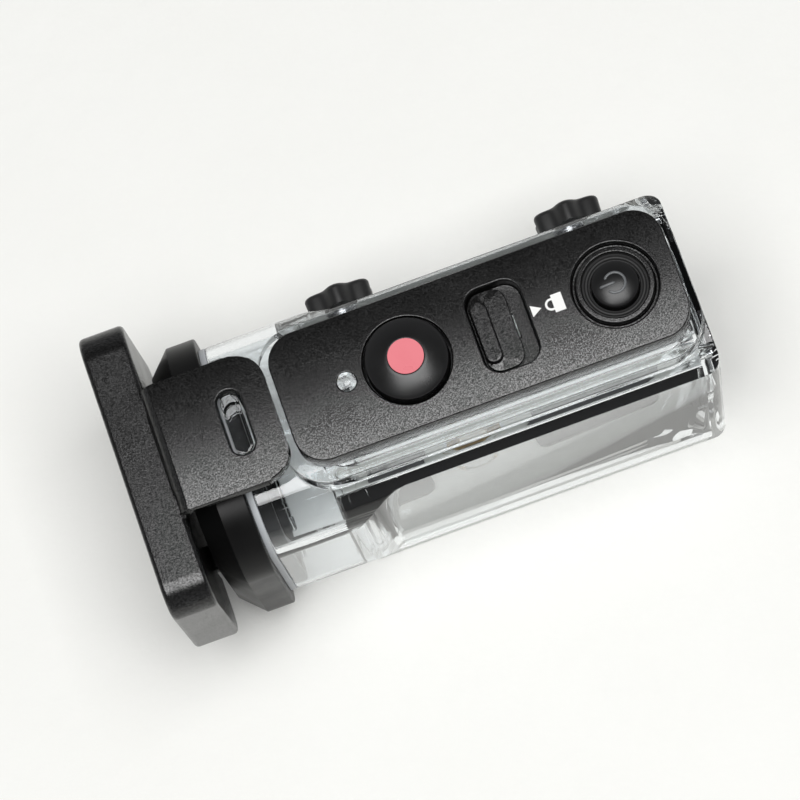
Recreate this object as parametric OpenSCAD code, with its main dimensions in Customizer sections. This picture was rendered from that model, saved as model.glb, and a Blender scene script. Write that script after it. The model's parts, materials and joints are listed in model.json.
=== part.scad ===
// Clear underwater housing of a stick-style action camera.
// Millimetres. +X points to the front window, +Y to the side buttons, +Z up.
// The origin is under the middle of the housing, on the surface that it stands on.

/* [Overall] */
// Length from the buckle plate's back to the front window
total_len = 109.5; // [109:0.5:111]
// Height of the control panel's face above the base
deck_h = 64; // [64:0.25:65]
// Wall of the clear case at its thinnest
wall = 1.8; // [1.6:0.1:2]

/* [Clear case] */
// Half width of the round-cornered barrel at the rear
barrel_w = 21.2; // [21:0.1:21.6]
// Half width of the slimmer body in front of it, at the ledge
body_w = 18.1; // [17.9:0.1:18.5]
// Half width of that body near its base
base_w = 19.2; // [18.8:0.1:19.6]
// Length of the sweep between the two widths
sweep_len = 12; // [10:1:14]
// Half width of the raised deck under the control panel
island_w = 15.2; // [15:0.1:15.6]

/* [Control panel] */
// Length of the panel
panel_len = 75.3; // [75:0.1:76]
// Width of the panel
panel_wide = 25; // [24.6:0.1:25.4]
// Height of the panel above the clear deck
panel_h = 6.2; // [6:0.1:6.4]
// Plan radius of the panel's corners
panel_r = 5.7; // [5:0.1:6.2]
// Radius of the crown across the panel
crown_r = 143; // [120:1:200]
// Diameter of the record button
record_d = 15.2; // [14.8:0.1:15.4]
// Diameter of the power button's dome
power_d = 8.6; // [8.2:0.1:8.8]

/* [Rear door and buckle] */
// Half width of the door
door_w = 23.6; // [23.2:0.1:24]
// Width of the buckle plate
plate_wide = 56; // [54:0.5:58]
// Thickness of the buckle plate
plate_t = 8.7; // [8.5:0.1:8.7]
// Width of the latch arm
arm_wide = 24.4; // [24.2:0.1:24.8]

/* [Travel] */
// How far the record button goes down
record_travel = 1.2; // [0.8:0.1:1.2]
// How far the power button goes down
power_travel = 1; // [0.6:0.1:1]
// How far the hold switch slides
hold_travel = 2.5; // [2:0.1:2.6]
// How far a side button goes in
side_travel = 1.5; // [1:0.1:1.5]

/* [Hidden] */
$fn = 64;
eps = 0.02;
gap = 0.3;

// Places along the length
x_rear = -total_len / 2;
x_front = total_len / 2;
panel_x1 = x_front - 2.3;
panel_x0 = panel_x1 - panel_len;
record_x = panel_x0 + 24.05;
lamp_x = panel_x0 + 12.5;
hold_x = panel_x0 + 42.2;
power_x = panel_x0 + 63.85;
side_x = [panel_x0 + 15.7, panel_x0 + 61.6];
plate_x1 = x_rear + plate_t;
door_x0 = plate_x1 + 1.4;
door_x1 = door_x0 + 9.8;
rim_x = door_x1 + 1.25;
sweep_x0 = rim_x + 15;
sweep_x1 = sweep_x0 + sweep_len;

// Heights
deck_z = deck_h - panel_h;
barrel_z = [2.8, deck_h - 10.8];
door_z = [0.2, deck_h - 8];
floor_t = 3;
pad_top = 4.6;
roof_z = deck_z - 2.6;
side_z = 32;

// Corner radii of the sections
barrel_r = 12;
door_r = 15;

// Shafts and their bushes
shaft_r = 1.5;
run_fit = 0.05;
bush_r = 3.2;
bush_flange_r = 4.4;
bush_flange_t = 1;
ring_wire = 0.48;
ring_pocket = 1.2;
spring_wire = 0.7;
side_spring_wire = 0.6;

// Control panel
panel_top_t = 2.4;
panel_wall = 1.6;
under_z = deck_h - panel_top_t;
record_hole_r = record_d / 2 + 0.55;
guard_r = [6.1, 7.2, 8];
guard_depth = 2;
hold_half = [5.25, 8.15];
hold_floor_z = deck_h - 3.4;
hold_slot = [3, 4];
lamp_r = 1.75;
post_at = [for (x = [panel_x0 + 5.6, panel_x1 - 4.6]) for (y = [-7.5, 7.5]) [x, y]];
post_r = 2.2;
screw_r = 0.9;

// Side buttons
side_boss_y = 20;
side_boss_r = 5.2;
knob_y = [21.7, 25.8];
knob_top_t = 1.2;
side_in_y = 12.5;

// Front window
window_r = 13.1;
window_z = 32;
bezel_half = 16;
bezel_z = [14, 50];
bezel_r = 9;
bezel_t = 1;
window_seat = 1.2;
front_t = 3.4;
bezel_screw_at = [for (y = [-12.6, 12.6]) for (z = [-13.4, 13.4]) [y, window_z + z]];

// Tripod mount, 1/4 inch, in a hexagonal insert
tripod_x = 8;
tripod_r = 3.175;
tripod_len = 4.2;
insert_r = 5.8;

// Door hinge
hinge_at = [rim_x + 1.6, 2];
hinge_r = 1.75;
hinge_pin_r = 0.8;
hinge_case_y = 7;
hinge_door_y = [7.3, 12];

// Buckle
lever_at = [plate_x1 - 3.95, 23];
lever_pin_r = 1;
lever_lug_r = 2.6;
lever_lug_y = [10, 15];
plate_z = [19.6, deck_h - 6.2];
arm_t = 3.8;
arm_x1 = panel_x0 - 1.2;
latch_at = [plate_x1 + 3.05, deck_h - arm_t];
latch_pin_r = 0.9;
latch_lug_r = 2.3;
latch_lug_y = [8.2, 11.2];
catch_x = panel_x0 - 8.8;
catch_half = [1.8, 5.8];
catch_top = deck_h - 1.7;
slot_half = [2.25, 6.2];

// ---- Building blocks ----

// Rounded rectangle from corner a to corner b
module round_rect(a, b, r) {
  translate([a[0] + r, a[1]]) square([b[0] - a[0] - 2 * r, b[1] - a[1]]);
  translate([a[0], a[1] + r]) square([b[0] - a[0], b[1] - a[1] - 2 * r]);
  for (x = [a[0] + r, b[0] - r]) for (y = [a[1] + r, b[1] - r]) translate([x, y]) circle(r);
}

// Bar along X with a round-cornered section, centred on Y
module bar(x, half, z, r) {
  translate([x[0], 0, 0]) rotate([90, 0, 90])
    linear_extrude(x[1] - x[0]) round_rect([-half, z[0]], [half, z[1]], r);
}

// Upright block with a round-cornered plan, centred on Y
module slab(x, half, z, r) {
  translate([0, 0, z[0]]) linear_extrude(z[1] - z[0]) round_rect([x[0], -half], [x[1], half], r);
}

module block(x, y, z) {
  translate([x[0], y[0], z[0]]) cube([x[1] - x[0], y[1] - y[0], z[1] - z[0]]);
}

// Cylinder along Y, at [x, z]
module rod_y(at, r, y) {
  translate([at[0], y[0], at[1]]) rotate([-90, 0, 0]) cylinder(r = r, h = y[1] - y[0]);
}

// Cylinder along X, at [y, z]
module rod_x(at, r, x) {
  translate([x[0], at[0], at[1]]) rotate([0, 90, 0]) cylinder(r = r, h = x[1] - x[0]);
}

// Upright cylinder
module rod_z(at, r, z) {
  translate([at[0], at[1], z[0]]) cylinder(r = r, h = z[1] - z[0]);
}

// The same thing on both sides of the middle plane
module both_sides() {
  children();
  mirror([0, 1, 0]) children();
}

// Everything under the crowned face
module under_crown() {
  rod_x([0, deck_h - crown_r], crown_r, [x_rear, x_front], $fn = 720);
}

// Round-wire coil from z = 0 up, as a swept tube
module coil(r, wire, length, turns, per_turn = 14, sides = 6) {
  steps = turns * per_turn;
  rise = length - wire;
  ring_points = [for (i = [0:steps]) for (j = [0:sides - 1])
    let (turn = i / per_turn * 360, around = j / sides * 360, out = r + wire / 2 * cos(around))
    [out * cos(turn), out * sin(turn), wire / 2 + rise * i / steps + wire / 2 * sin(around)]];
  skin = [for (i = [0:steps - 1]) for (j = [0:sides - 1])
    let (k = (j + 1) % sides) [i * sides + j, (i + 1) * sides + j, (i + 1) * sides + k, i * sides + k]];
  ends = [[for (j = [0:sides - 1]) j], [for (j = [sides - 1:-1:0]) steps * sides + j]];
  polyhedron(points = ring_points, faces = concat(skin, ends), convexity = 4);
}

// ---- Parts on every push shaft, built along +Z from the bush's seat at z = 0 ----

module push_bush(depth) {
  difference() {
    union() {
      rod_z([0, 0], bush_flange_r, [0, bush_flange_t]);
      rod_z([0, 0], bush_r, [-depth, eps]);
    }
    rod_z([0, 0], shaft_r + run_fit, [-depth - 1, bush_flange_t + 1]);
    rod_z([0, 0], shaft_r + 2 * ring_wire + 2 * eps, [bush_flange_t - ring_pocket, bush_flange_t + 1]);
  }
}

module push_ring() {
  translate([0, 0, bush_flange_t - ring_pocket / 2])
    rotate_extrude() translate([shaft_r + eps + ring_wire, 0]) circle(ring_wire, $fn = 24);
}

// Retaining clip, open on one side, whose upper face is at z
module push_clip(z) {
  difference() {
    rod_z([0, 0], 3, [z - 0.6, z]);
    rod_z([0, 0], shaft_r, [z - 1, z + 1]);
    block([0, 4], [-0.9, 0.9], [z - 1, z + 1]);
  }
}

// ---- Clear case and what is fixed to it ----

// Half width of the case at a point of the sweep, t from 0 to 1
function sweep_half(t) = body_w + (barrel_w - body_w) * (1 + cos(180 * t)) / 2;

module body_plan() {
  steps = 16;
  side = [for (i = [0:steps]) [sweep_x0 + sweep_len * i / steps, sweep_half(i / steps)]];
  tail = [sweep_x0 - eps, barrel_w];
  polygon(concat([[tail[0], -tail[1]]], [for (p = side) [p[0], -p[1]]],
    [for (i = [steps:-1:0]) side[i]], [tail]));
  round_rect([sweep_x1 - 4, -body_w], [x_front, body_w], 3);
}

// Front body, whose sides draw in from base to top, with a rounded foot
module drafted(x, base, top, z, r) {
  hull() {
    for (a = [0:22.5:90]) {
      inset = r * (1 - sin(a));
      foot = z[0] + r * (1 - cos(a));
      slab([x[0], x[1] - inset], base - inset, [foot, foot + eps], 3, $fn = 48);
    }
    slab(x, top, [z[1] - eps, z[1]], 3, $fn = 48);
  }
}

module case_outside() {
  bar([rim_x, sweep_x0 + eps], barrel_w, barrel_z, barrel_r);
  intersection() {
    linear_extrude(deck_h) body_plan();
    bar([sweep_x0 - 1, x_front + 1], barrel_w, barrel_z, barrel_r);
  }
  drafted([sweep_x0 - 1, x_front], base_w, body_w + 0.02, [0, deck_h - 14.8], 4);
  slab([panel_x0 - 2.6, x_front - 0.3], island_w, [45, deck_z], 8);
  slab([catch_x - catch_half[0], catch_x + catch_half[0]], catch_half[1],
    [barrel_z[1] - 1, catch_top], catch_half[0] - eps);
  for (x = side_x) rod_y([x, side_z], side_boss_r, [body_w - 2, side_boss_y]);
  rod_y(hinge_at, hinge_r, [-hinge_case_y, hinge_case_y]);
}

module case_hollow() {
  front_x = x_front - front_t;
  half = body_w - 2.3;
  inside_z = [barrel_z[0] + wall, barrel_z[1] - wall];
  bar([rim_x - 1, sweep_x0 - 1], barrel_w - wall - 0.2, inside_z, barrel_r - wall);
  intersection() {
    bar([sweep_x0 - 2, front_x], barrel_w - wall - 0.4, [-deck_h, inside_z[1] - 0.2], barrel_r - wall - 0.2);
    union() {
      block([sweep_x0 - 2, sweep_x0 + 3], [-half, half], [inside_z[0], deck_h]);
      difference() {
        block([sweep_x0 + 2, front_x], [-half, half], [floor_t, deck_h]);
        rod_z([tripod_x, 0], insert_r + 1.4, [0, pad_top]);
      }
    }
  }
  slab([rim_x + 14, front_x], island_w - 3, [deck_h / 2, roof_z], 5);
}

module clear_case() {
  color([0.86, 0.9, 0.92, 0.35]) difference() {
    case_outside();
    case_hollow();
    for (x = [record_x, power_x]) rod_z([x, 0], bush_r, [roof_z - 1, deck_z + 1]);
    for (x = side_x) rod_y([x, side_z], bush_r, [0, side_boss_y + 1]);
    for (p = post_at) {
      rod_z(p, screw_r, [roof_z - 1, deck_z + 1]);
      rod_z(p, 2 * screw_r, [roof_z - 1, roof_z + 1]);
    }
    rod_z([tripod_x, 0], insert_r, [-1, tripod_len], $fn = 6);
    bar([x_front - bezel_t, x_front + 1], bezel_half, bezel_z, bezel_r);
    rod_x([0, window_z], window_r, [x_front - bezel_t - window_seat, x_front]);
    rod_x([0, window_z], window_r - 1.2, [x_front - front_t - 1, x_front]);
    for (p = bezel_screw_at) rod_x(p, screw_r, [x_front - bezel_t - 1.3, x_front]);
    rod_y(hinge_at, hinge_pin_r, [-barrel_w, barrel_w]);
    both_sides() rod_y(hinge_at, hinge_r + 0.4, [hinge_case_y + 0.1, hinge_door_y[1] + gap]);
  }
}

module floor_pads() {
  color([0.2, 0.2, 0.21]) for (x = [[-14, -2], [20, 46]]) slab(x, 9, [floor_t, pad_top], 2);
}

module tripod_insert() {
  color([0.76, 0.62, 0.34]) difference() {
    rod_z([tripod_x, 0], insert_r, [0, tripod_len], $fn = 6);
    rod_z([tripod_x, 0], tripod_r, [-1, tripod_len + 1]);
  }
}

module front_window() {
  color([0.8, 0.88, 0.9, 0.35])
    rod_x([0, window_z], window_r, [x_front - bezel_t - window_seat + 0.4, x_front - 0.3]);
}

module window_gasket() {
  seat_x = x_front - bezel_t - window_seat;
  color([0.08, 0.08, 0.08]) difference() {
    rod_x([0, window_z], window_r, [seat_x, seat_x + 0.4]);
    rod_x([0, window_z], window_r - 1.1, [seat_x - 1, seat_x + 1]);
  }
}

module window_bezel() {
  color([0.07, 0.07, 0.08]) difference() {
    bar([x_front - bezel_t, x_front], bezel_half, bezel_z, bezel_r);
    rod_x([0, window_z], window_r, [x_front - bezel_t - 1, x_front + 1]);
    for (p = bezel_screw_at) {
      rod_x(p, screw_r, [x_front - bezel_t - 1, x_front + 1]);
      rod_x(p, 1.5, [x_front - 0.8, x_front + 1]);
    }
  }
}

module bezel_screws() {
  color([0.55, 0.55, 0.57]) for (p = bezel_screw_at) difference() {
    union() {
      rod_x(p, screw_r, [x_front - bezel_t - 1.2, x_front - 0.7]);
      rod_x(p, 1.5, [x_front - 0.8, x_front - 0.1]);
    }
    rod_x(p, 0.6, [x_front - 0.6, x_front + 1], $fn = 6);
  }
}

module top_panel() {
  tray_half = [for (h = hold_half) h + 1.2];
  color([0.1, 0.1, 0.105]) difference() {
    union() {
      intersection() {
        difference() {
          slab([panel_x0, panel_x1], panel_wide / 2, [deck_z, deck_h], panel_r);
          slab([panel_x0 + panel_wall, panel_x1 - panel_wall], panel_wide / 2 - panel_wall,
            [deck_z - 1, under_z], panel_r - panel_wall);
        }
        under_crown();
      }
      slab([hold_x - tray_half[0], hold_x + tray_half[0]], tray_half[1],
        [hold_floor_z - 0.8, under_z + eps], 4);
      for (p = post_at) rod_z(p, post_r, [deck_z, under_z + eps]);
    }
    rod_z([record_x, 0], record_hole_r, [deck_z, deck_h + 1]);
    rod_z([lamp_x, 0], lamp_r, [deck_z, deck_h + 1]);
    rod_z([power_x, 0], guard_r[0], [deck_z, deck_h + 1]);
    difference() {
      rod_z([power_x, 0], guard_r[2], [deck_h - guard_depth, deck_h + 1]);
      rod_z([power_x, 0], guard_r[1], [deck_h - guard_depth - 1, deck_h + 2]);
    }
    slab([hold_x - hold_half[0], hold_x + hold_half[0]], hold_half[1], [hold_floor_z, deck_h + 1], 3.2);
    block([hold_x - hold_slot[0] / 2 - 2, hold_x + hold_slot[0] / 2 + hold_travel - 1.4],
      [-hold_slot[1] / 2 - gap, hold_slot[1] / 2 + gap], [deck_z, hold_floor_z + 1]);
    for (p = post_at) rod_z(p, screw_r, [deck_z - 1, under_z - 0.4]);
  }
}

module panel_screws() {
  color([0.55, 0.55, 0.57]) for (p = post_at) {
    rod_z(p, screw_r, [roof_z + 0.9, under_z - 0.6]);
    rod_z(p, 2 * screw_r, [roof_z + 0.1, roof_z + 1]);
  }
}

module lamp_lens() {
  dome_r = 2.4;
  color([0.9, 0.9, 0.92, 0.6]) {
    rod_z([lamp_x, 0], lamp_r, [under_z - 1.2, deck_h]);
    intersection() {
      translate([lamp_x, 0, deck_h + 0.75 - dome_r]) sphere(dome_r);
      rod_z([lamp_x, 0], lamp_r, [deck_h - eps, deck_h + 2]);
    }
  }
}

// ---- Record button ----

record_top = deck_h + 3;
record_edge = deck_h + 1;

module record_cap() {
  rise = record_top - record_edge;
  ball = (pow(record_d / 2, 2) + rise * rise) / (2 * rise);
  color([0.09, 0.1, 0.105]) difference() {
    union() {
      intersection() {
        rod_z([record_x, 0], record_d / 2, [under_z - 1.4, record_top + 1]);
        translate([record_x, 0, record_top - ball]) sphere(ball, $fn = 96);
      }
      rod_z([record_x, 0], record_hole_r + 0.85, [under_z - 1.6, under_z - 0.4]);
    }
    rod_z([record_x, 0], 3.3, [record_top - 0.9, record_top + 1]);
    rod_z([record_x, 0], shaft_r, [deck_z, deck_h]);
    difference() {
      rod_z([record_x, 0], 6, [deck_z, deck_h - 0.6]);
      rod_z([record_x, 0], 2.6, [deck_z, deck_h]);
    }
  }
}

module record_dot() {
  color([0.86, 0.2, 0.25]) rod_z([record_x, 0], 3.3, [record_top - 0.9, record_top - 0.25]);
}

module record_shaft() {
  color([0.7, 0.71, 0.73]) rod_z([record_x, 0], shaft_r, [roof_z - 3.2, deck_h]);
}

module on_roof(x) {
  translate([x, 0, deck_z]) children();
}

module record_bush() {
  color([0.16, 0.16, 0.17]) on_roof(record_x) push_bush(3.4);
}

module record_ring() {
  color([0.05, 0.05, 0.05]) on_roof(record_x) push_ring();
}

module record_spring() {
  color([0.75, 0.76, 0.78]) on_roof(record_x) translate([0, 0, bush_flange_t])
    coil(3.7, spring_wire, deck_h - 0.6 - deck_z - bush_flange_t, 3.5);
}

module record_clip() {
  color([0.6, 0.6, 0.62]) on_roof(record_x) push_clip(-3.6);
}

// ---- Power button ----

power_top = deck_h + 1.4;

module power_cap() {
  rise = 1;
  ball = (pow(power_d / 2, 2) + rise * rise) / (2 * rise);
  color([0.09, 0.1, 0.105]) difference() {
    union() {
      intersection() {
        rod_z([power_x, 0], power_d / 2, [under_z - 1.4, power_top + 1]);
        translate([power_x, 0, power_top - ball]) sphere(ball, $fn = 96);
      }
      rod_z([power_x, 0], 5.7, [under_z - 1.4, under_z - 0.5]);
    }
    rod_z([power_x, 0], shaft_r, [deck_z, deck_h]);
    difference() {
      rod_z([power_x, 0], 3.7, [deck_z, deck_h - 0.6]);
      rod_z([power_x, 0], 2.1, [deck_z, deck_h]);
    }
  }
}

module power_seal() {
  inner = power_d / 2 + 0.35;
  color([0.06, 0.06, 0.065]) difference() {
    union() {
      rod_z([power_x, 0], guard_r[0], [under_z - 0.2, deck_h - 1.3]);
      translate([power_x, 0, deck_h - 1.3]) rotate_extrude() translate([5.3, 0]) circle(0.4, $fn = 24);
    }
    rod_z([power_x, 0], inner, [deck_z, deck_h]);
  }
}

module power_shaft() {
  color([0.7, 0.71, 0.73]) rod_z([power_x, 0], shaft_r, [roof_z - 3.2, deck_h]);
}

module power_bush() {
  color([0.16, 0.16, 0.17]) on_roof(power_x) push_bush(3.4);
}

module power_ring() {
  color([0.05, 0.05, 0.05]) on_roof(power_x) push_ring();
}

module power_spring() {
  color([0.75, 0.76, 0.78]) on_roof(power_x) translate([0, 0, bush_flange_t])
    coil(2.9, spring_wire, deck_h - 0.6 - deck_z - bush_flange_t, 4);
}

module power_clip() {
  color([0.6, 0.6, 0.62]) on_roof(power_x) push_clip(-3.6);
}

// ---- Hold switch ----

module hold_slider() {
  x0 = hold_x - hold_half[0] + 0.45;
  x1 = hold_x + hold_half[0] - hold_travel - 0.4;
  half = hold_half[1] - 0.5;
  color([0.09, 0.095, 0.1]) {
    slab([x0, x1], half, [hold_floor_z + 0.1, hold_floor_z + 1.7], 2.6);
    slab([x0 + 0.2, x0 + 3.2], 5.9, [hold_floor_z + 1.6, deck_h - 0.4], 1.45);
    block([hold_x - hold_slot[0] / 2 - 1.7, hold_x + hold_slot[0] / 2 - 1.7],
      [-hold_slot[1] / 2, hold_slot[1] / 2], [hold_floor_z - 1.2, hold_floor_z + 0.2]);
  }
}

module hold_keeper() {
  color([0.3, 0.3, 0.31]) slab([hold_x - 5.4, hold_x + 2], 4.6,
    [hold_floor_z - 2, hold_floor_z - 1.2], 1);
}

// ---- Side buttons, built along +Z and laid over to +Y ----

module on_side(i) {
  translate([side_x[i], side_boss_y, side_z]) rotate([-90, 0, 0]) children();
}

module side_knob(i) {
  lobes = 6;
  inner = knob_y[0] - side_boss_y;
  outer = knob_y[1] - side_boss_y;
  color([0.06, 0.06, 0.065]) on_side(i) difference() {
    union() {
      rod_z([0, 0], 5.7, [inner, outer]);
      for (k = [0:lobes - 1]) rotate(360 / lobes * (k + 0.5)) rod_z([4.9, 0], 2.2, [inner, outer]);
    }
    rod_z([0, 0], shaft_r, [0, outer - knob_top_t]);
    difference() {
      rod_z([0, 0], 4.9, [0, outer - knob_top_t]);
      rod_z([0, 0], 2.4, [bush_flange_t + side_travel + 0.2, outer]);
    }
  }
}

module side_shaft(i) {
  color([0.7, 0.71, 0.73]) on_side(i)
    rod_z([0, 0], shaft_r, [side_in_y - side_boss_y, knob_y[1] - side_boss_y - knob_top_t]);
}

module side_bush(i) {
  color([0.16, 0.16, 0.17]) on_side(i) push_bush(4);
}

module side_ring(i) {
  color([0.05, 0.05, 0.05]) on_side(i) push_ring();
}

module side_spring(i) {
  color([0.75, 0.76, 0.78]) on_side(i) translate([0, 0, bush_flange_t])
    coil(3.7, side_spring_wire, knob_y[1] - side_boss_y - knob_top_t - bush_flange_t, 2);
}

module side_clip(i) {
  color([0.6, 0.6, 0.62]) on_side(i) push_clip(-4.2);
}

// ---- Rear door ----

module rear_door() {
  cut = 4.3;
  color([0.08, 0.08, 0.085]) difference() {
    union() {
      bar([door_x0 + cut - eps, door_x1], door_w, door_z, door_r);
      hull() {
        bar([door_x0 + cut - eps, door_x0 + cut], door_w, door_z, door_r);
        bar([door_x0, door_x0 + eps], door_w - cut, [door_z[0] + cut, door_z[1] - cut], door_r - cut);
      }
      bar([door_x1 - eps, rim_x + 2.6], barrel_w - wall - 0.6,
        [barrel_z[0] + wall + 0.6, barrel_z[1] - wall - 0.4], barrel_r - wall);
      both_sides() {
        rod_y(hinge_at, hinge_r, hinge_door_y);
        block([door_x1 - 1.2, hinge_at[0]], hinge_door_y, [0.7, 2.3]);
        rod_y(lever_at, lever_lug_r, lever_lug_y);
        block([lever_at[0], door_x0 + 1], lever_lug_y, [lever_at[1] - 1.8, lever_at[1] + 1.8]);
      }
    }
    bar([door_x0 + 2.6, rim_x + 3], barrel_w - wall - 2.6,
      [barrel_z[0] + wall + 2.4, barrel_z[1] - wall - 2.4], barrel_r - wall - 2);
    rod_y(hinge_at, hinge_pin_r + run_fit, [-barrel_w, barrel_w]);
    rod_y(lever_at, lever_pin_r, [-barrel_w, barrel_w]);
  }
}

module door_seal() {
  color([0.62, 0.64, 0.66]) difference() {
    bar([door_x1, rim_x - run_fit], barrel_w, barrel_z, barrel_r);
    bar([door_x1 - 1, rim_x + 1], barrel_w - wall - 0.6,
      [barrel_z[0] + wall + 0.6, barrel_z[1] - wall - 0.4], barrel_r - wall);
  }
}

module door_pad() {
  color([0.2, 0.2, 0.21]) bar([door_x0 + 2.6, door_x1], barrel_w - wall - 4,
    [barrel_z[0] + wall + 4, barrel_z[1] - wall - 4], 7);
}

module door_pin() {
  color([0.7, 0.71, 0.73]) rod_y(hinge_at, hinge_pin_r, [-hinge_door_y[1], hinge_door_y[1]]);
}

// ---- Buckle ----

// Side outline of the ear that carries the latch pin
module latch_ear() {
  root_x = plate_x1 - 0.3;
  color([0.09, 0.09, 0.095]) {
    translate([0, latch_lug_y[1], 0]) rotate([90, 0, 0]) linear_extrude(latch_lug_y[1] - latch_lug_y[0])
      polygon([[root_x, latch_at[1] - 6.4], [root_x, latch_at[1] - 3],
        [latch_at[0] - 2.2, latch_at[1]], [latch_at[0] + latch_lug_r, latch_at[1]],
        [latch_at[0] + 1.8, latch_at[1] - 1.6]]);
    rod_y(latch_at, latch_lug_r, latch_lug_y);
  }
}

module buckle_plate() {
  color([0.09, 0.09, 0.095]) difference() {
    union() {
      bar([x_rear, plate_x1], plate_wide / 2, plate_z, 6);
      both_sides() latch_ear();
    }
    both_sides() block([lever_at[0] - lever_lug_r - 0.4, plate_x1 + 1],
      [lever_lug_y[0] - 0.4, lever_lug_y[1] + 0.4], [plate_z[0] - 1, lever_at[1] + lever_lug_r + 0.6]);
    rod_y(lever_at, lever_pin_r + run_fit, [-18, 18]);
    rod_y(latch_at, latch_pin_r, [-plate_wide, plate_wide]);
  }
}

module buckle_pin() {
  color([0.7, 0.71, 0.73]) rod_y(lever_at, lever_pin_r, [-17.8, 17.8]);
}

module latch_pin() {
  color([0.7, 0.71, 0.73]) rod_y(latch_at, latch_pin_r, [-latch_lug_y[1], latch_lug_y[1]]);
}

module latch_arm() {
  half = arm_wide / 2;
  pocket_y = [latch_lug_y[0] - gap, latch_lug_y[1] + gap];
  color([0.1, 0.1, 0.105]) difference() {
    union() {
      intersection() {
        slab([latch_at[0] - 20, arm_x1], half, [latch_at[1], deck_h], 5.6);
        under_crown();
        union() {
          block([latch_at[0], arm_x1 + 1], [-half, half], [latch_at[1], deck_h + 1]);
          rod_y(latch_at, arm_t, [-half, half]);
        }
      }
      rod_y(latch_at, latch_lug_r, [-pocket_y[0], pocket_y[0]]);
    }
    slab([catch_x - slot_half[0], catch_x + slot_half[0]], slot_half[1],
      [latch_at[1] - 1, deck_h + 1], slot_half[0] - eps);
    block([catch_x - slot_half[0], arm_x1 + 1], [-slot_half[1], slot_half[1]],
      [latch_at[1] - 1, catch_top + gap]);
    both_sides() {
      rod_y(latch_at, latch_lug_r + gap, pocket_y);
      block([latch_at[0] - arm_t - 1, latch_at[0]], pocket_y, [latch_at[1] - 1, latch_at[1] + 1.9]);
    }
    rod_y(latch_at, latch_pin_r + run_fit, [-half, half]);
  }
}

// ---- Assembly ----

clear_case();
floor_pads();
tripod_insert();
front_window();
window_gasket();
window_bezel();
bezel_screws();
top_panel();
panel_screws();
lamp_lens();
record_cap();
record_dot();
record_shaft();
record_bush();
record_ring();
record_spring();
record_clip();
power_cap();
power_seal();
power_shaft();
power_bush();
power_ring();
power_spring();
power_clip();
hold_slider();
hold_keeper();
side_knob(0);  // rear_knob
side_shaft(0);  // rear_shaft
side_bush(0);  // rear_bush
side_ring(0);  // rear_ring
side_spring(0);  // rear_spring
side_clip(0);  // rear_clip
side_knob(1);  // front_knob
side_shaft(1);  // front_shaft
side_bush(1);  // front_bush
side_ring(1);  // front_ring
side_spring(1);  // front_spring
side_clip(1);  // front_clip
rear_door();
door_seal();
door_pad();
door_pin();
buckle_plate();
buckle_pin();
latch_arm();
latch_pin();
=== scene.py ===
"""Clear underwater housing of a stick-style action camera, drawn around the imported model.

Metres, in the model's own frame: X along the housing to the front window, Y across to the side
buttons, Z up from the surface that it stands on. Lengths marked mm are turned to metres by MM.
"""

import json
import math

import bmesh
import bpy
from mathutils import Matrix, Vector
from mathutils.bvhtree import BVHTree

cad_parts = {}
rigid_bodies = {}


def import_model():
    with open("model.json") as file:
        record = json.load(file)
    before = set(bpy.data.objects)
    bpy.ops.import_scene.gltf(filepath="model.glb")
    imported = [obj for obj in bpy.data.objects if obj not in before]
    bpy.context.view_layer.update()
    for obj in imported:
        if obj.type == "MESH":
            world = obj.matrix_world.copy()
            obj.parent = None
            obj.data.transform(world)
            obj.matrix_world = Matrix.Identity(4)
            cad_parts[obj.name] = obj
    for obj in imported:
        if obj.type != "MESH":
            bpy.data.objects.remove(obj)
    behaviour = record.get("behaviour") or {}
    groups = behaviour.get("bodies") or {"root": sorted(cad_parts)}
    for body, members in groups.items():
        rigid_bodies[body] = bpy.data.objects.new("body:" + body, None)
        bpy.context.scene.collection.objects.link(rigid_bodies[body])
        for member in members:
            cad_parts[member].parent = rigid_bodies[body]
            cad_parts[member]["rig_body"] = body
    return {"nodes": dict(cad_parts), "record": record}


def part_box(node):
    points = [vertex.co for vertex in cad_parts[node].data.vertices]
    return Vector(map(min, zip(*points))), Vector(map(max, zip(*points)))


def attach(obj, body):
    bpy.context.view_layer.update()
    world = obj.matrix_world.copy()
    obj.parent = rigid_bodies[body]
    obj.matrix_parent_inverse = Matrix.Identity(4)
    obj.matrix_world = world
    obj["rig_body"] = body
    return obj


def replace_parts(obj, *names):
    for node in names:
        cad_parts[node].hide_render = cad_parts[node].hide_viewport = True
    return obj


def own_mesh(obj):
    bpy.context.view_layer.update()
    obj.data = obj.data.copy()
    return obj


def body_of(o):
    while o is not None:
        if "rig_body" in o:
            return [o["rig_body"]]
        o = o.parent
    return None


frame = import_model()
NODES = frame["nodes"]
SLOT_OF = {s["node"]: s["material_slot"] for s in frame["record"]["subparts"]}
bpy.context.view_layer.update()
scene = bpy.context.scene
MM = 0.001

# ---- Node graphs ----


def new_material(name):
    """A material with only a Principled shader, and a helper that adds nodes to it."""
    mat = bpy.data.materials.new(name)
    mat.use_nodes = True
    tree = mat.node_tree
    tree.nodes.clear()
    out = tree.nodes.new("ShaderNodeOutputMaterial")
    bsdf = tree.nodes.new("ShaderNodeBsdfPrincipled")
    tree.links.new(bsdf.outputs[0], out.inputs[0])

    def add(kind, inputs=None, **props):
        node = tree.nodes.new(kind)
        for key, value in props.items():
            setattr(node, key, value)
        for key, value in (inputs or {}).items():
            if isinstance(value, bpy.types.NodeSocket):
                tree.links.new(value, node.inputs[key])
            else:
                node.inputs[key].default_value = value
        return node

    def give(socket, value):
        if isinstance(value, bpy.types.NodeSocket):
            tree.links.new(value, bsdf.inputs[socket])
        else:
            bsdf.inputs[socket].default_value = value

    return mat, add, give


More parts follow.
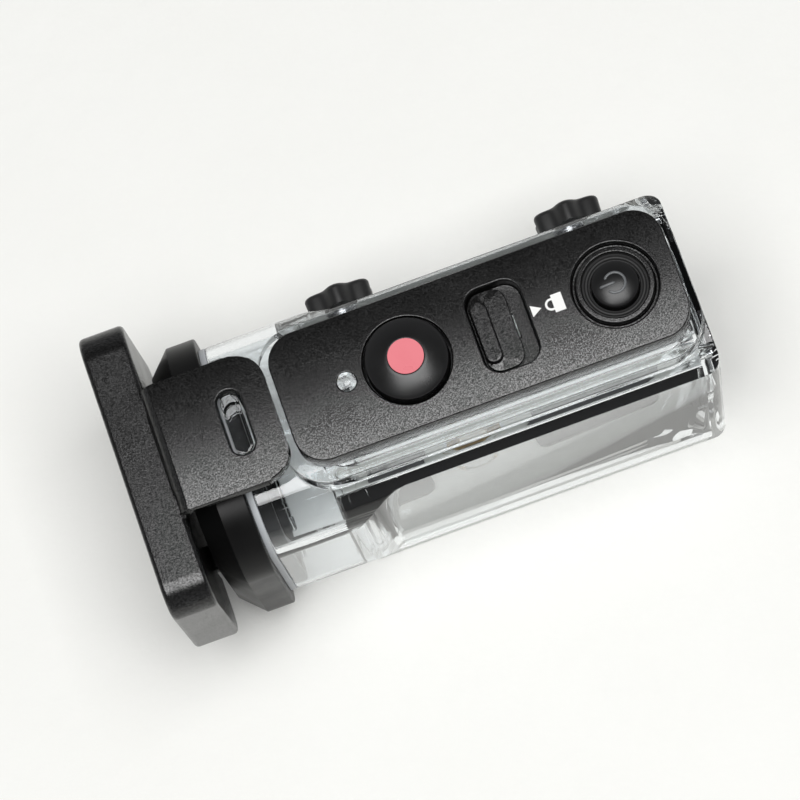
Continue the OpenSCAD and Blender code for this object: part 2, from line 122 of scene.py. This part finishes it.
def noise(add, size_mm, detail=2.0, roughness=0.5):
    """Noise whose features measure about size_mm, in the object's own space."""
    place = add("ShaderNodeTexCoord").outputs["Object"]
    return add("ShaderNodeTexNoise", {
        "Vector": place, "Scale": 1 / (size_mm * MM), "Detail": detail,
        "Roughness": roughness}).outputs["Fac"]


def ramp(add, value, low, high, to_low, to_high):
    """The value, mapped from low..high to to_low..to_high."""
    return add("ShaderNodeMapRange", {
        "Value": value, "From Min": low, "From Max": high, "To Min": to_low, "To Max": to_high}
    ).outputs["Result"]


def tint(add, value, dark, light):
    """A colour between dark and light, by the value."""
    mix = add("ShaderNodeMix", {0: value}, data_type="RGBA")
    mix.inputs[6].default_value = (*dark, 1)
    mix.inputs[7].default_value = (*light, 1)
    return mix.outputs[2]


def bump(add, height, depth_mm):
    """A normal from a height field depth_mm deep."""
    return add("ShaderNodeBump", {"Height": height, "Distance": depth_mm * MM}).outputs["Normal"]


def grained(name, dark, light, rough, grain_mm, depth_mm):
    """Moulded black plastic with a spark-eroded grain, whose facets glint one by one."""
    mat, add, give = new_material(name)
    fine = noise(add, grain_mm, detail=2, roughness=0.8)
    broad = noise(add, 9, detail=2)
    give("Base Color", tint(add, ramp(add, fine, 0.4, 0.7, 0, 1), dark, light))
    give("Roughness", ramp(add, broad, 0.3, 0.7, rough - 0.02, rough + 0.03))
    give("Specular IOR Level", ramp(add, fine, 0.4, 0.62, 0.2, 0.9))
    give("Normal", bump(add, fine, depth_mm))
    return mat


def satin(name, dark, light, rough, gloss=0.5):
    """Smooth plastic with faint flow marks."""
    mat, add, give = new_material(name)
    flow = noise(add, 6, detail=3)
    fine = noise(add, 0.12, detail=1)
    give("Base Color", tint(add, flow, dark, light))
    give("Roughness", ramp(add, flow, 0.3, 0.7, rough - 0.04, rough + 0.05))
    give("Specular IOR Level", gloss)
    give("Normal", bump(add, fine, 0.003))
    return mat


def clear(name, colour, rough, ior):
    """Clear plastic or glass, with a trace of haze."""
    mat, add, give = new_material(name)
    haze = noise(add, 14, detail=2)
    give("Base Color", colour)
    give("Roughness", ramp(add, haze, 0.35, 0.7, rough, rough + 0.02))
    give("IOR", ior)
    give("Transmission Weight", 1.0)
    # Light reaches what lies behind the wall, so its shadow is faint
    shaded = add("ShaderNodeLightPath").outputs["Is Shadow Ray"]
    give("Alpha", ramp(add, shaded, 0, 1, 1, 0.2))
    return mat


def metal(name, colour, rough):
    """Turned or drawn metal with fine tool marks."""
    mat, add, give = new_material(name)
    marks = noise(add, 0.2, detail=2)
    give("Base Color", tint(add, marks, [c * 0.9 for c in colour], colour))
    give("Metallic", 1.0)
    give("Roughness", ramp(add, marks, 0.3, 0.7, rough - 0.05, rough + 0.08))
    give("Normal", bump(add, marks, 0.002))
    return mat


def rubber(name, dark, light, rough, depth_mm=0.01):
    """Matt rubber with a fine texture."""
    mat, add, give = new_material(name)
    fine = noise(add, 0.25, detail=2)
    give("Base Color", tint(add, noise(add, 5), dark, light))
    give("Roughness", ramp(add, fine, 0.3, 0.7, rough - 0.04, rough + 0.06))
    give("Sheen Weight", 0.1)
    give("Normal", bump(add, fine, depth_mm))
    return mat


def grey(level):
    return (level, level, level)


LOOK = {
    "clear_plastic": clear("clear_plastic", (0.93, 0.955, 0.97, 1), 0.01, 1.55),
    "window_glass": clear("window_glass", (0.98, 0.99, 1, 1), 0.0, 1.5),
    "lamp_clear": clear("lamp_clear", (0.9, 0.92, 0.93, 1), 0.02, 1.5),
    "grained_black_plastic": grained(
        "grained_black_plastic", (0.0015, 0.0014, 0.0013), grey(0.009), 0.23, 0.26, 0.02),
    "satin_black_plastic": satin(
        "satin_black_plastic", (0.003, 0.003, 0.0031), (0.005, 0.005, 0.0052), 0.3),
    "black_plastic": satin("black_plastic", grey(0.003), grey(0.006), 0.34, 0.15),
    "bush_plastic": satin("bush_plastic", (0.02, 0.02, 0.021), (0.03, 0.03, 0.031), 0.5),
    "red_plastic": satin("red_plastic", (0.7, 0.16, 0.19), (0.74, 0.18, 0.21), 0.3),
    "knob_rubber": rubber("knob_rubber", grey(0.003), grey(0.006), 0.45),
    "seal_rubber": rubber("seal_rubber", grey(0.005), grey(0.009), 0.55),
    "door_seal_rubber": rubber("door_seal_rubber", (0.42, 0.44, 0.46), (0.5, 0.52, 0.54), 0.5),
    "pad_rubber": rubber("pad_rubber", (0.03, 0.03, 0.031), (0.045, 0.045, 0.046), 0.75, 0.03),
    "steel": metal("steel", (0.62, 0.63, 0.64), 0.28),
    "spring_steel": metal("spring_steel", (0.66, 0.66, 0.67), 0.24),
    "brass_insert": metal("brass_insert", (0.72, 0.52, 0.24), 0.3),
}
# The power symbol is moulded in the cap's black plastic; its lighter grey is a painted highlight
SYMBOL_PAINTED_HIGHLIGHT = satin("power_symbol_painted_highlight", (0.1, 0.105, 0.11), (0.14, 0.145, 0.15), 0.28)
WHITE_INK = satin("white_ink", (0.8, 0.8, 0.78), (0.86, 0.86, 0.84), 0.5)

# ---- Pieces ----

# Radius, in mm, on the sharp edges of each moulded solid
EDGE_MM = {
    "top_panel": 0.3, "latch_arm": 0.4, "buckle_plate": 0.9, "rear_door": 0.4, "clear_case": 0.25,
    "record_cap": 0.2, "power_cap": 0.15, "hold_slider": 0.2,
    "door_seal": 0.12, "door_pad": 0.6, "floor_pads": 0.3, "power_seal": 0.08,
}

# Edges that turn by more than this many degrees are rounded. The door's 45 degree chamfer stays crisp.
ROUND_FROM = {"rear_door": 55}
ROUND_FROM_OTHERS = 38
# Turn, in degrees, from which shading shows an edge
CRISP_FROM = 35

# The panel and the latch arm share one crowned surface, a cylinder along X
CROWNED = ("top_panel", "latch_arm")
CROWN_R = 143 * MM
crown_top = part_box("top_panel")[1].z


def crown_height(y):
    """Height of the crowned surface at y."""
    return crown_top - CROWN_R + math.sqrt(CROWN_R ** 2 - y ** 2)


def show(mesh, name, material, body, sharp=30):
    """The mesh as a piece that rides on a body."""
    for face in mesh.polygons:
        face.use_smooth = True
    mesh.set_sharp_from_angle(angle=math.radians(sharp))
    mesh.materials.append(material)
    obj = bpy.data.objects.new(name, mesh)
    scene.collection.objects.link(obj)
    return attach(obj, body)


def stands_for(obj, node):
    """The piece takes the CAD node's place, and the node is hidden."""
    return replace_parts(obj, node)


def rounded(node, radius):
    """The CAD solid with its sharp edges rounded, except where a round wouldn't fit.

    Each try rounds all sharp edges that are clear of the tight spots found so far. A point that
    lands too far from the solid marks a new tight spot.
    """
    round_from = math.radians(ROUND_FROM.get(node, ROUND_FROM_OTHERS))
    farthest = 0.45 * radius + 0.02 * MM
    base = bmesh.new()
    base.from_mesh(NODES[node].data)
    bmesh.ops.remove_doubles(base, verts=base.verts, dist=0.002 * MM)
    bmesh.ops.dissolve_limit(base, angle_limit=math.radians(0.6), verts=base.verts, edges=base.edges)
    surface = BVHTree.FromBMesh(base)
    tight = []
    for _ in range(8):
        work = base.copy()
        edges = [
            e for e in work.edges
            if len(e.link_faces) == 2 and e.calc_face_angle(0) > round_from
            and not any((v.co - spot).length < reach for spot, reach in tight for v in e.verts)]
        bmesh.ops.bevel(work, geom=edges, offset=radius, offset_type="OFFSET", segments=3, profile=0.5,
                        affect="EDGES", clamp_overlap=False, miter_outer="SHARP", loop_slide=True)
        far = []
        for v in work.verts:
            place, _, _, gap = surface.find_nearest(v.co)
            if gap > farthest:
                far.append((place, gap + 1.5 * radius))
        if not far:
            break
        tight += far
        work.free()
    else:
        work = base.copy()
    mesh = bpy.data.meshes.new(f"{node}_rounded")
    bmesh.ops.triangulate(work, faces=[f for f in work.faces if len(f.verts) > 4])
    work.to_mesh(mesh)
    base.free()
    work.free()
    obj = show(mesh, f"{node}_rounded", LOOK[SLOT_OF[node]], body_of(NODES[node])[0], CRISP_FROM)
    if node in CROWNED:
        follow_crown(mesh)
    elif node == "rear_door":
        follow_drum(mesh)
    else:
        even = obj.modifiers.new("shade", "WEIGHTED_NORMAL")
        even.weight = 90
        even.keep_sharp = True
    return stands_for(obj, node)


def follow_crown(mesh):
    """Shades the crowned surface as the cylinder that it is, across its long faces."""
    normals = [n.vector.copy() for n in mesh.corner_normals]
    for face in mesh.polygons:
        for corner in face.loop_indices:
            place = mesh.vertices[mesh.loops[corner].vertex_index].co
            true = Vector((0, place.y, math.sqrt(CROWN_R ** 2 - place.y ** 2))) / CROWN_R
            if abs(place.z - crown_height(place.y)) < 0.03 * MM and face.normal.dot(true) > 0.86:
                normals[corner] = true
            elif abs(face.normal.z) > 0.995:
                normals[corner] = face.normal.copy()
    mesh.normals_split_custom_set(normals)


def follow_drum(mesh):
    """Shades the rear door's round-cornered rim and its chamfer from their outline."""
    # The outline is a round-cornered box: its middle, its corners' centres and their radius
    middle_z, straight_y, straight_z, radius = 28.1 * MM, 8.6 * MM, 12.9 * MM, 15 * MM
    slope = math.sqrt(0.5)
    normals = [n.vector.copy() for n in mesh.corner_normals]
    for face in mesh.polygons:
        for corner in face.loop_indices:
            place = mesh.vertices[mesh.loops[corner].vertex_index].co
            y, z = place.y, place.z - middle_z
            out = Vector((0, math.copysign(max(abs(y) - straight_y, 0), y),
                          math.copysign(max(abs(z) - straight_z, 0), z)))
            reach = out.length
            if reach < 1e-6:
                continue
            out.normalize()
            if abs(face.normal.x) < 0.2 and abs(reach - radius) < 0.1 * MM:
                true = out
            elif -0.85 < face.normal.x < -0.5:
                true = Vector((-slope, slope * out.y, slope * out.z))
            else:
                continue
            if face.normal.dot(true) > 0.9:
                normals[corner] = true
    mesh.normals_split_custom_set(normals)


def ring_stack(name, rings, material, body, sharp):
    """A closed solid through rings of points, with its first and last ring drawn to their middles."""
    count = len(rings[0])
    points = [p for ring in rings for p in ring]
    faces = [
        (first + k, first + (k + 1) % count, first + count + (k + 1) % count, first + count + k)
        for first in range(0, (len(rings) - 1) * count, count) for k in range(count)]
    for ring, first in ((rings[0], 0), (rings[-1], (len(rings) - 1) * count)):
        points.append(sum((Vector(p) for p in ring), Vector()) / count)
        faces += [(first + k, first + (k + 1) % count, len(points) - 1) for k in range(count)]
    mesh = bpy.data.meshes.new(name)
    mesh.from_pydata([tuple(p) for p in points], [], faces)
    work = bmesh.new()
    work.from_mesh(mesh)
    bmesh.ops.recalc_face_normals(work, faces=work.faces)
    work.to_mesh(mesh)
    work.free()
    return show(mesh, name, material, body, sharp)


def side_knob(node, body):
    """Scalloped push button with six lobes and a hollow back for its spring."""
    low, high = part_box(node)
    x, z = (low.x + high.x) / 2, (low.z + high.z) / 2
    inner, outer = low.y, high.y
    top_t = 1.2 * MM
    count = 120

    def ring(y, radius_mm, lobe_mm=0.0):
        points = []
        for k in range(count):
            turn = 2 * math.pi * k / count
            out = (radius_mm - lobe_mm * math.cos(6 * turn)) * MM
            points.append((x + math.cos(turn) * out, y, z + math.sin(turn) * out))
        return points

    # From the hollow's floor out round its rim, up the scalloped side and over to the dished top
    rings = [ring(outer - top_t, 4.9), ring(inner + 0.2 * MM, 4.9), ring(inner, 5.1),
             ring(inner, 5.9, 0.55), ring(inner + 0.25 * MM, 6.25, 0.66)]
    rings += [ring(outer - 0.9 * MM * (1 - math.sin(a)), 6.4 - 0.9 * (1 - math.cos(a)), 0.7)
              for a in (math.radians(15 * i) for i in range(6))]
    rings += [ring(outer, 5.3, 0.6), ring(outer, 3.9, 0.1), ring(outer - 0.35 * MM, 3.5),
              ring(outer - 0.4 * MM, 1.5)]
    return stands_for(ring_stack(f"{node}_scalloped", rings, LOOK["knob_rubber"], body, 40), node)


def spring(node, axis, turns):
    """Return spring, a swept wire that fills its node's box."""
    low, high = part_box(node)
    length = high[axis] - low[axis]
    across = [i for i in range(3) if i != axis]
    middle = [(low[i] + high[i]) / 2 for i in across]
    wire = (0.3 if axis == 1 else 0.35) * MM
    radius = (high[across[0]] - low[across[0]]) / 2 - wire
    steps = int(turns * 32)
    rings = []
    for i in range(steps + 1):
        turn = 2 * math.pi * i / 32
        along = low[axis] + wire + (length - 2 * wire) * i / steps
        ring = []
        for k in range(10):
            around = 2 * math.pi * k / 10
            out = radius + wire * math.cos(around)
            p = [0.0, 0.0, 0.0]
            p[across[0]] = middle[0] + out * math.cos(turn)
            p[across[1]] = middle[1] + out * math.sin(turn)
            p[axis] = along + wire * math.sin(around)
            ring.append(tuple(p))
        rings.append(ring)
    obj = ring_stack(f"{node}_wire", rings, LOOK["spring_steel"], body_of(NODES[node])[0], 60)
    stands_for(obj, node)
    anchor = [0.0, 0.0, 0.0]
    anchor[axis] = low[axis]
    anchor[across[0]], anchor[across[1]] = middle
    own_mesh(obj)


def printed(name, outlines):
    """White marks printed on the crowned panel, from outlines in mm."""
    points, faces = [], []
    for outline in outlines:
        faces.append(tuple(range(len(points), len(points) + len(outline))))
        points += [(x * MM, y * MM, crown_height(y * MM) + 0.015 * MM) for x, y in outline]
    mesh = bpy.data.meshes.new(name)
    mesh.from_pydata(points, [], faces)
    show(mesh, name, WHITE_INK, "case")


def arc_band(x, y, inner, outer, start, end, steps=20):
    """Quads along an arc about (x, y), angles in degrees from +X."""
    made = []
    for i in range(steps):
        a, b = (math.radians(start + (end - start) * k / steps) for k in (i, i + 1))
        made.append([(x + r * math.cos(t), y + r * math.sin(t))
                     for r, t in ((inner, a), (outer, a), (outer, b), (inner, b))])
    return made


def ridge(name, path, width_mm, height_mm, node):
    """Raised bead along a path of (x, y) in metres, lying on a CAD solid's top."""
    source = bmesh.new()
    source.from_mesh(NODES[node].data)
    surface = BVHTree.FromBMesh(source)
    rings = []
    for i, (x, y) in enumerate(path):
        ahead, behind = path[min(i + 1, len(path) - 1)], path[max(i - 1, 0)]
        way = Vector((ahead[0] - behind[0], ahead[1] - behind[1], 0)).normalized()
        side = Vector((-way.y, way.x, 0))
        end = 0.35 if i in (0, len(path) - 1) else 1
        ring = []
        for k in range(12):
            turn = 2 * math.pi * k / 12
            p = Vector((x, y, 0)) + side * math.cos(turn) * width_mm / 2 * MM * end
            ground = surface.ray_cast(Vector((p.x, p.y, 1)), Vector((0, 0, -1)))[0].z
            p.z = ground + math.sin(turn) * height_mm * MM * end
            ring.append(tuple(p))
        rings.append(ring)
    source.free()
    # The bead's lighter grey than the black cap is a painted highlight
    return ring_stack(name, rings, SYMBOL_PAINTED_HIGHLIGHT, body_of(NODES[node])[0], 60)


for name, obj in NODES.items():
    obj.data.materials.clear()
    obj.data.materials.append(LOOK[SLOT_OF[name]])
made = {name: rounded(name, radius * MM) for name, radius in EDGE_MM.items()}
side_knob("rear_knob", "rear_button")
side_knob("front_knob", "front_button")

# Each spring, with the axis that it lies along and its number of turns
spring("record_spring", 2, 3.5)
spring("power_spring", 2, 4)
spring("rear_spring", 1, 2)
spring("front_spring", 1, 2)

# Marks beside the hold switch, in mm: its direction, and a padlock drawn as body, bow and two legs
printed("hold_arrow", [[(25.2, -0.6), (25.2, 1.6), (27.1, 0.5)]])
printed("hold_padlock", [[(29.3, -1.2), (31.3, -1.2), (31.3, 2.2), (29.3, 2.2)]]
        + arc_band(29.0, 0.5, 0.75, 1.15, 90, 270)
        + [[(29.0, -0.65), (29.0, -0.25), (29.3, -0.25), (29.3, -0.65)],
           [(29.0, 1.25), (29.0, 1.65), (29.3, 1.65), (29.3, 1.25)]])

low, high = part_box("power_cap")
power_x, power_y = (low.x + high.x) / 2, (low.y + high.y) / 2
open_arc = [math.radians(-145 + 290 * i / 40) for i in range(41)]
ridge("power_mark_ring",
      [(power_x + 1.9 * MM * math.cos(a), power_y + 1.9 * MM * math.sin(a)) for a in open_arc],
      0.5, 0.22, "power_cap")
ridge("power_mark_bar", [(power_x - 2.9 * MM * i / 12, power_y) for i in range(13)],
      0.5, 0.22, "power_cap")

# ---- Floor, light and camera ----


def floor():
    """Plain pale floor that the housing stands on."""
    mat, add, give = new_material("floor_surface")
    give("Base Color", tint(add, noise(add, 30, detail=4), (0.9, 0.9, 0.865), (0.93, 0.93, 0.9)))
    give("Roughness", 0.85)
    give("Normal", bump(add, noise(add, 6, detail=4), 0.3))
    mesh = bpy.data.meshes.new("floor")
    side = 2.5
    mesh.from_pydata([(-side, -side, 0), (side, -side, 0), (side, side, 0), (-side, side, 0)], [],
                     [(0, 1, 2, 3)])
    mesh.materials.append(mat)
    obj = bpy.data.objects.new("floor", mesh)
    scene.collection.objects.link(obj)


def area_light(name, at, aim, size, power):
    data = bpy.data.lights.new(name, "AREA")
    data.shape = "RECTANGLE"
    data.size, data.size_y = size
    data.energy = power
    obj = bpy.data.objects.new(name, data)
    obj.location = at
    obj.rotation_euler = (Vector(aim) - Vector(at)).to_track_quat("-Z", "Y").to_euler()
    scene.collection.objects.link(obj)


def camera():
    """Long lens above the near side, turned about its own axis as the picture is."""
    tilt, pan, roll = (math.radians(a) for a in (14.886, 0.592, 19.943))
    right, up = Vector((1, 0, 0)), Vector((0, math.cos(tilt), math.sin(tilt)))
    ahead = Vector((0, math.sin(tilt), -math.cos(tilt)))
    side = right * math.cos(pan) + ahead * math.sin(pan)
    ahead = ahead * math.cos(pan) - right * math.sin(pan)
    across = side * math.cos(roll) - up * math.sin(roll)
    upward = side * math.sin(roll) + up * math.cos(roll)
    data = bpy.data.cameras.new("camera")
    data.sensor_width = 36
    data.lens = 180
    data.clip_start, data.clip_end = 0.02, 20
    obj = bpy.data.objects.new("camera", data)
    axes = Matrix((across, upward, -ahead)).transposed().to_4x4()
    obj.matrix_world = Matrix.Translation((0.00498, -0.19104, 0.75779)) @ axes
    scene.collection.objects.link(obj)
    scene.camera = obj


def surroundings():
    """Soft studio light, bright near the horizon and dim overhead."""
    world = bpy.data.worlds.new("studio")
    world.use_nodes = True
    tree = world.node_tree
    way = tree.nodes.new("ShaderNodeTexCoord")
    split = tree.nodes.new("ShaderNodeSeparateXYZ")
    level = tree.nodes.new("ShaderNodeMapRange")
    for key, value in {"From Min": 0.35, "From Max": 0.8, "To Min": 0.42, "To Max": 0.08}.items():
        level.inputs[key].default_value = value
    background = tree.nodes["Background"]
    background.inputs["Color"].default_value = (0.97, 0.98, 1, 1)
    tree.links.new(way.outputs["Generated"], split.inputs[0])
    tree.links.new(split.outputs["Z"], level.inputs["Value"])
    tree.links.new(level.outputs["Result"], background.inputs["Strength"])
    scene.world = world


floor()
camera()
area_light("overhead", (0.0, -0.16, 1.1), (0.0, -0.16, 0), (0.9, 0.68), 12.5)
surroundings()
scene.view_settings.view_transform = "Standard"
